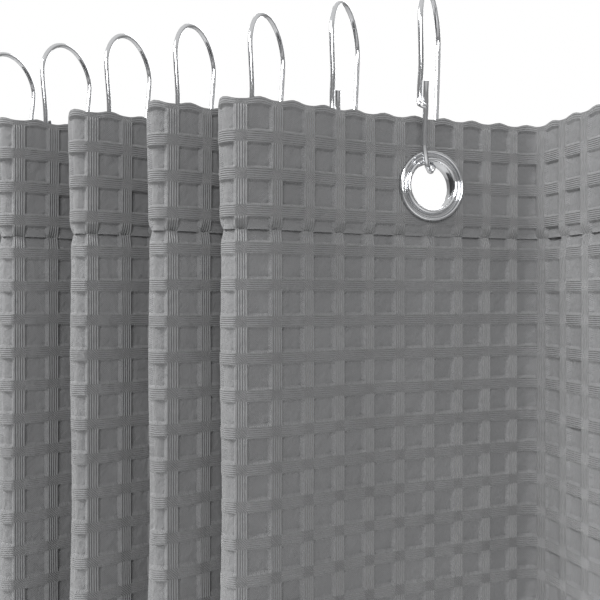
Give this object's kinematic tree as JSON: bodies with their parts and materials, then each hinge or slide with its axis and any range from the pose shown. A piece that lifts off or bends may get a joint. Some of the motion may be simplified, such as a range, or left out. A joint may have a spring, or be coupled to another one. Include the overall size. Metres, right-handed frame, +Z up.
{
  "type": "shower curtain",
  "caption": "Waffle-weave fabric shower curtain gathered in deep folds, with metal grommets along the top hem and plain wire hooks for a rod.",
  "frame": {"origin": "on the axis of the rod that the hooks hang from, at the middle of the first hook", "axes": "+X along the rod, towards the loose side of the cloth by the first hook; -Y towards the room, where the folds point; +Z up"},
  "size_m": [0.4203, 0.0825, 1.8709],
  "materials": {
    "cloth": "dark grey woven waffle polyester, matt",
    "grommet": "polished, rolled sheet metal",
    "wire": "polished spring wire"
  },
  "bodies": {
    "cloth_01": {"panel_01": "cloth", "eyelet_01": "grommet", "washer_01": "grommet"},
    "cloth_02": {"panel_02": "cloth", "eyelet_02": "grommet", "washer_02": "grommet"},
    "cloth_03": {"panel_03": "cloth", "eyelet_03": "grommet", "washer_03": "grommet"},
    "cloth_04": {"panel_04": "cloth", "eyelet_04": "grommet", "washer_04": "grommet"},
    "cloth_05": {"panel_05": "cloth", "eyelet_05": "grommet", "washer_05": "grommet"},
    "cloth_06": {"panel_06": "cloth", "eyelet_06": "grommet", "washer_06": "grommet"},
    "cloth_07": {"panel_07": "cloth", "eyelet_07": "grommet", "washer_07": "grommet"},
    "cloth_08": {"panel_08": "cloth", "eyelet_08": "grommet", "washer_08": "grommet"},
    "cloth_09": {"panel_09": "cloth", "eyelet_09": "grommet", "washer_09": "grommet"},
    "cloth_10": {"panel_10": "cloth", "eyelet_10": "grommet", "washer_10": "grommet"},
    "cloth_11": {"panel_11": "cloth", "eyelet_11": "grommet", "washer_11": "grommet"},
    "cloth_12": {"panel_12": "cloth", "eyelet_12": "grommet", "washer_12": "grommet"},
    "hook_01": {"hook_01": "wire"},
    "hook_02": {"hook_02": "wire"},
    "hook_03": {"hook_03": "wire"},
    "hook_04": {"hook_04": "wire"},
    "hook_05": {"hook_05": "wire"},
    "hook_06": {"hook_06": "wire"},
    "hook_07": {"hook_07": "wire"},
    "hook_08": {"hook_08": "wire"},
    "hook_09": {"hook_09": "wire"},
    "hook_10": {"hook_10": "wire"},
    "hook_11": {"hook_11": "wire"},
    "hook_12": {"hook_12": "wire"}
  },
  "joints": [
    {"name": "draw_02", "type": "slide", "parent": "cloth_01", "child": "cloth_02", "axis": [-1, 0, 0], "range_m": [0, 0.095]},
    {"name": "draw_03", "type": "slide", "parent": "cloth_02", "child": "cloth_03", "axis": [-1, 0, 0], "range_m": [0, 0.095]},
    {"name": "draw_04", "type": "slide", "parent": "cloth_03", "child": "cloth_04", "axis": [-1, 0, 0], "range_m": [0, 0.095]},
    {"name": "draw_05", "type": "slide", "parent": "cloth_04", "child": "cloth_05", "axis": [-1, 0, 0], "range_m": [0, 0.095]},
    {"name": "draw_06", "type": "slide", "parent": "cloth_05", "child": "cloth_06", "axis": [-1, 0, 0], "range_m": [0, 0.095]},
    {"name": "draw_07", "type": "slide", "parent": "cloth_06", "child": "cloth_07", "axis": [-1, 0, 0], "range_m": [0, 0.095]},
    {"name": "draw_08", "type": "slide", "parent": "cloth_07", "child": "cloth_08", "axis": [-1, 0, 0], "range_m": [0, 0.095]},
    {"name": "draw_09", "type": "slide", "parent": "cloth_08", "child": "cloth_09", "axis": [-1, 0, 0], "range_m": [0, 0.095]},
    {"name": "draw_10", "type": "slide", "parent": "cloth_09", "child": "cloth_10", "axis": [-1, 0, 0], "range_m": [0, 0.095]},
    {"name": "draw_11", "type": "slide", "parent": "cloth_10", "child": "cloth_11", "axis": [-1, 0, 0], "range_m": [0, 0.095]},
    {"name": "draw_12", "type": "slide", "parent": "cloth_11", "child": "cloth_12", "axis": [-1, 0, 0], "range_m": [0, 0.095]},
    {"name": "hook_swing_01", "type": "hinge", "parent": "cloth_01", "child": "hook_01", "pos_m": [0, 0, -0.04575], "axis": [1, 0, 0], "range_deg": [-7, 1]},
    {"name": "hook_swing_02", "type": "hinge", "parent": "cloth_02", "child": "hook_02", "pos_m": [-0.029, 0, -0.04575], "axis": [1, 0, 0], "range_deg": [-7, 1]},
    {"name": "hook_swing_03", "type": "hinge", "parent": "cloth_03", "child": "hook_03", "pos_m": [-0.058, 0, -0.04575], "axis": [1, 0, 0], "range_deg": [-7, 1]},
    {"name": "hook_swing_04", "type": "hinge", "parent": "cloth_04", "child": "hook_04", "pos_m": [-0.087, 0, -0.04575], "axis": [1, 0, 0], "range_deg": [-7, 1]},
    {"name": "hook_swing_05", "type": "hinge", "parent": "cloth_05", "child": "hook_05", "pos_m": [-0.116, 0, -0.04575], "axis": [1, 0, 0], "range_deg": [-7, 1]},
    {"name": "hook_swing_06", "type": "hinge", "parent": "cloth_06", "child": "hook_06", "pos_m": [-0.145, 0, -0.04575], "axis": [1, 0, 0], "range_deg": [-7, 1]},
    {"name": "hook_swing_07", "type": "hinge", "parent": "cloth_07", "child": "hook_07", "pos_m": [-0.174, 0, -0.04575], "axis": [1, 0, 0], "range_deg": [-7, 1]},
    {"name": "hook_swing_08", "type": "hinge", "parent": "cloth_08", "child": "hook_08", "pos_m": [-0.203, 0, -0.04575], "axis": [1, 0, 0], "range_deg": [-7, 1]},
    {"name": "hook_swing_09", "type": "hinge", "parent": "cloth_09", "child": "hook_09", "pos_m": [-0.232, 0, -0.04575], "axis": [1, 0, 0], "range_deg": [-7, 1]},
    {"name": "hook_swing_10", "type": "hinge", "parent": "cloth_10", "child": "hook_10", "pos_m": [-0.261, 0, -0.04575], "axis": [1, 0, 0], "range_deg": [-7, 1]},
    {"name": "hook_swing_11", "type": "hinge", "parent": "cloth_11", "child": "hook_11", "pos_m": [-0.29, 0, -0.04575], "axis": [1, 0, 0], "range_deg": [-7, 1]},
    {"name": "hook_swing_12", "type": "hinge", "parent": "cloth_12", "child": "hook_12", "pos_m": [-0.319, 0, -0.04575], "axis": [1, 0, 0], "range_deg": [-7, 1]}
  ],
  "couplings": [
    {"joint": "draw_03", "follows": "draw_02", "ratio": 1},
    {"joint": "draw_04", "follows": "draw_02", "ratio": 1},
    {"joint": "draw_05", "follows": "draw_02", "ratio": 1},
    {"joint": "draw_06", "follows": "draw_02", "ratio": 1},
    {"joint": "draw_07", "follows": "draw_02", "ratio": 1},
    {"joint": "draw_08", "follows": "draw_02", "ratio": 1},
    {"joint": "draw_09", "follows": "draw_02", "ratio": 1},
    {"joint": "draw_10", "follows": "draw_02", "ratio": 1},
    {"joint": "draw_11", "follows": "draw_02", "ratio": 1},
    {"joint": "draw_12", "follows": "draw_02", "ratio": 1},
    {"joint": "hook_swing_02", "follows": "hook_swing_01", "ratio": 1},
    {"joint": "hook_swing_03", "follows": "hook_swing_01", "ratio": 1},
    {"joint": "hook_swing_04", "follows": "hook_swing_01", "ratio": 1},
    {"joint": "hook_swing_05", "follows": "hook_swing_01", "ratio": 1},
    {"joint": "hook_swing_06", "follows": "hook_swing_01", "ratio": 1},
    {"joint": "hook_swing_07", "follows": "hook_swing_01", "ratio": 1},
    {"joint": "hook_swing_08", "follows": "hook_swing_01", "ratio": 1},
    {"joint": "hook_swing_09", "follows": "hook_swing_01", "ratio": 1},
    {"joint": "hook_swing_10", "follows": "hook_swing_01", "ratio": 1},
    {"joint": "hook_swing_11", "follows": "hook_swing_01", "ratio": 1},
    {"joint": "hook_swing_12", "follows": "hook_swing_01", "ratio": 1}
  ]
}
